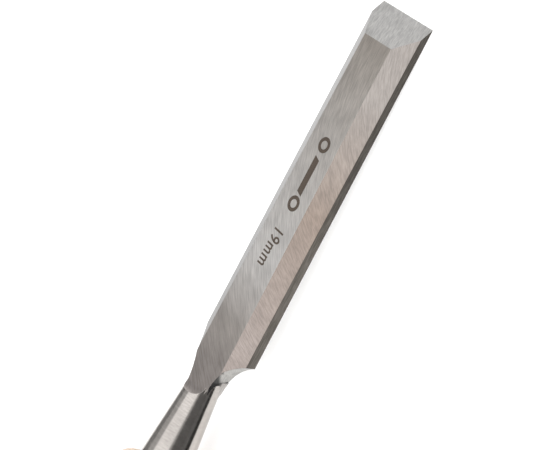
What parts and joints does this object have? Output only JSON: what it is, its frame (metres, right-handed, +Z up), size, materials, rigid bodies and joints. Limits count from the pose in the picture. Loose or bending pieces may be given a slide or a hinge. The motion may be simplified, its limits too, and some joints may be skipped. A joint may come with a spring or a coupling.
{
  "type": "bevel edged bench chisel",
  "caption": "Bevel-edged bench chisel with a straight 19 mm cutting edge, round tapered neck and a turned wood handle with a ferrule and a strike hoop.",
  "frame": {"origin": "centre of the whole tool's bounding box at bench level, z = 0 being the surface it lies on", "axes": "+X runs along the tool toward the cutting edge, +Z up out of the bevelled side, +Y to the left; the tool lies at rest on its cutting edge and its belly, so its own centre line rises 4.3 degrees toward the handle end"},
  "size_m": [0.2444, 0.032, 0.0342],
  "materials": {
    "blade_steel": "surface-ground carbon steel, scratches across the land and the long bevels, lengthwise on the cutting bevel, satin on the neck",
    "handle_wood": "pale hornbeam or beech, turned, clear lacquer, end grain at the struck end",
    "ring_steel": "turned bright steel with rounded rims"
  },
  "bodies": {
    "root": {"blade": "blade_steel", "handle": "handle_wood", "front_ferrule": "ring_steel", "strike_hoop": "ring_steel"}
  },
  "joints": []
}
